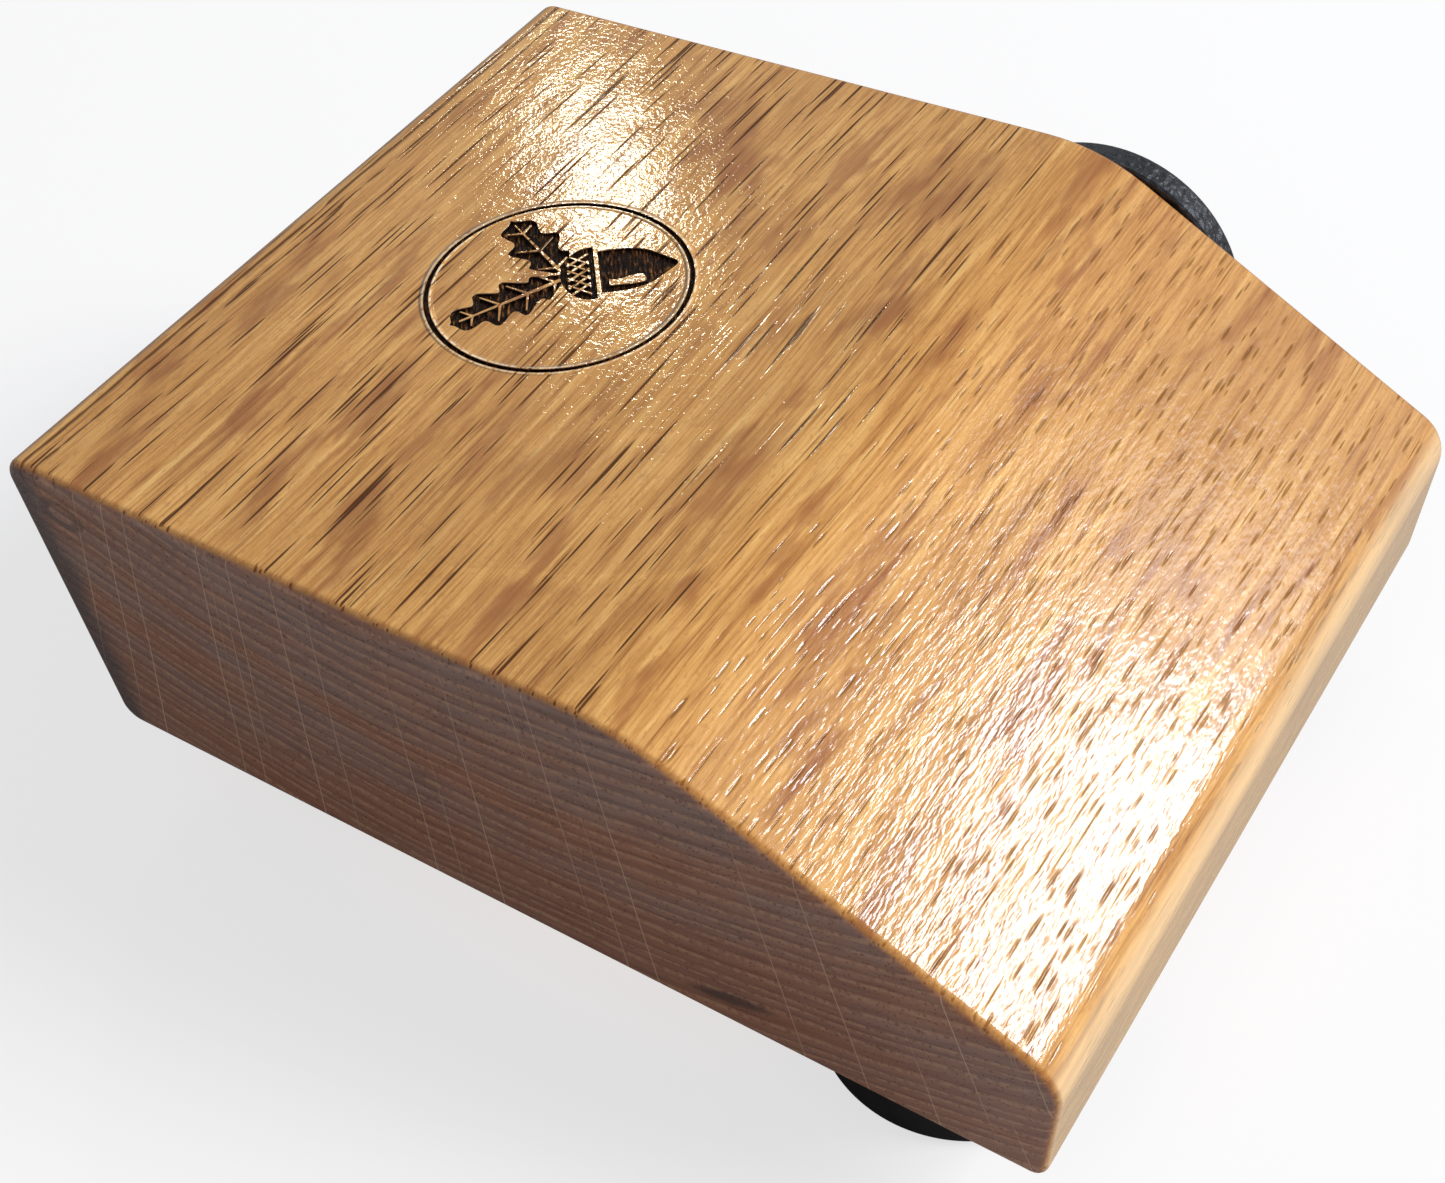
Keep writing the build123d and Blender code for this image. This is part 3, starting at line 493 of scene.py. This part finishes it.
def area(name, direction, distance, size, power, target, colour=(1, 1, 1), size_y=None, along=(1, 0, 0)):
    """Soft rectangular light, given by the direction it stands in from the target; its long side runs along an axis."""
    d = Vector(direction).normalized()
    data = bpy.data.lights.new(name, "AREA")
    data.shape = "RECTANGLE"
    data.size, data.size_y = size, size_y or size
    data.energy = power
    data.color = colour
    ob = bpy.data.objects.new(name, data)
    scene.collection.objects.link(ob)
    ax = Vector(along)
    ax = (ax - d * ax.dot(d)).normalized()
    ay = d.cross(ax)
    place = Vector(target) + d * distance
    ob.matrix_world = Matrix(((ax.x, ay.x, d.x, place.x), (ax.y, ay.y, d.y, place.y), (ax.z, ay.z, d.z, place.z), (0, 0, 0, 1)))
    return ob


area("window_back", (0.668, 0.522, 0.53), 1.1, 0.055, 0.52, (0.014, 0.030, 0.056), (1.0, 0.97, 0.80), size_y=0.085)
area("window_front", (0.510, -0.575, 0.61), 1.1, 0.44, 6.2, (-0.036, -0.056, 0.036), (0.88, 0.92, 1.0), size_y=0.20)
area("window_side", (0.655, -0.50, 0.575), 1.1, 0.30, 0.75, (-0.010, -0.056, 0.036), (0.92, 0.95, 1.0), size_y=0.26)
# broad soft light from the front right: it lights the wood but isn't mirrored in the varnish
soft = bpy.data.lights.new("soft_front", "SUN")
soft.energy = 2.8
soft.angle = math.radians(24)
soft.color = (1.0, 0.97, 0.92)
soft_ob = bpy.data.objects.new("soft_front", soft)
scene.collection.objects.link(soft_ob)
soft_ob.rotation_mode = "QUATERNION"
soft_ob.rotation_quaternion = (-Vector((0.42, -0.84, 0.50))).to_track_quat("-Z", "Y")
soft_ob.visible_glossy = False

below = area("soft_below", (0.25, -0.35, -1.0), 0.8, 0.7, 5.0, (0.0, 0.0, 0.02), (1.0, 0.99, 0.97))
below.visible_glossy = False

# ------------------------------------------------------------------ camera
W = 0.110
cam_fit = (1.40894, -0.76679, 1.55887)
az, el, roll = 2.2918, 0.96158, -0.16348
focal_px, cx, cy = 1724.207, 632.674, 927.036
PX_W, PX_H = 1445.0, 1183.0


def to_row(v):
    return Vector((v[1], -v[0], v[2]))


forward = Vector((math.cos(el) * math.cos(az), math.cos(el) * math.sin(az), -math.sin(el)))
right = forward.cross(Vector((0, 0, 1))).normalized()
up = right.cross(forward)
right, up = right * math.cos(roll) + up * math.sin(roll), up * math.cos(roll) - right * math.sin(roll)
cam_data = bpy.data.cameras.new("camera")
cam = bpy.data.objects.new("camera", cam_data)
scene.collection.objects.link(cam)
place = Vector((W * cam_fit[1] - 0.0572, -W * cam_fit[0] + 0.06433, W * cam_fit[2] + 0.011))
m = Matrix.Identity(4)
for row in range(3):
    m[row][0], m[row][1], m[row][2], m[row][3] = to_row(right)[row], to_row(up)[row], -to_row(forward)[row], place[row]
cam.matrix_world = m
cam_data.sensor_width = 36.0
cam_data.lens = focal_px / PX_W * cam_data.sensor_width
cam_data.clip_start, cam_data.clip_end = 0.005, 20.0
scene.camera = cam
# lens shift that belongs to this standpoint only: any other camera position looks straight ahead
for prop, value in (("shift_x", 0.5 - cx / PX_W), ("shift_y", (cy - PX_H / 2) / PX_W)):
    curve = cam_data.driver_add(prop)
    curve.driver.type = "SUM"
    var = curve.driver.variables.new()
    var.name = "px"
    var.type = "TRANSFORMS"
    var.targets[0].id = cam
    var.targets[0].transform_type = "LOC_X"
    for mod in list(curve.modifiers):
        curve.modifiers.remove(mod)
    hump = curve.modifiers.new("GENERATOR")  # a narrow parabola that peaks at the standpoint, cut off at zero
    hump.mode, hump.poly_order = "POLYNOMIAL", 2
    k = value / 0.003**2
    hump.coefficients = (value - k * place.x**2, 2 * k * place.x, -k)
    floor_cut = curve.modifiers.new("LIMITS")
    floor_cut.use_min_y, floor_cut.min_y = True, 0.0

scene.view_settings.view_transform = "Standard"
scene.view_settings.look = "None"
scene.view_settings.exposure = 0.0
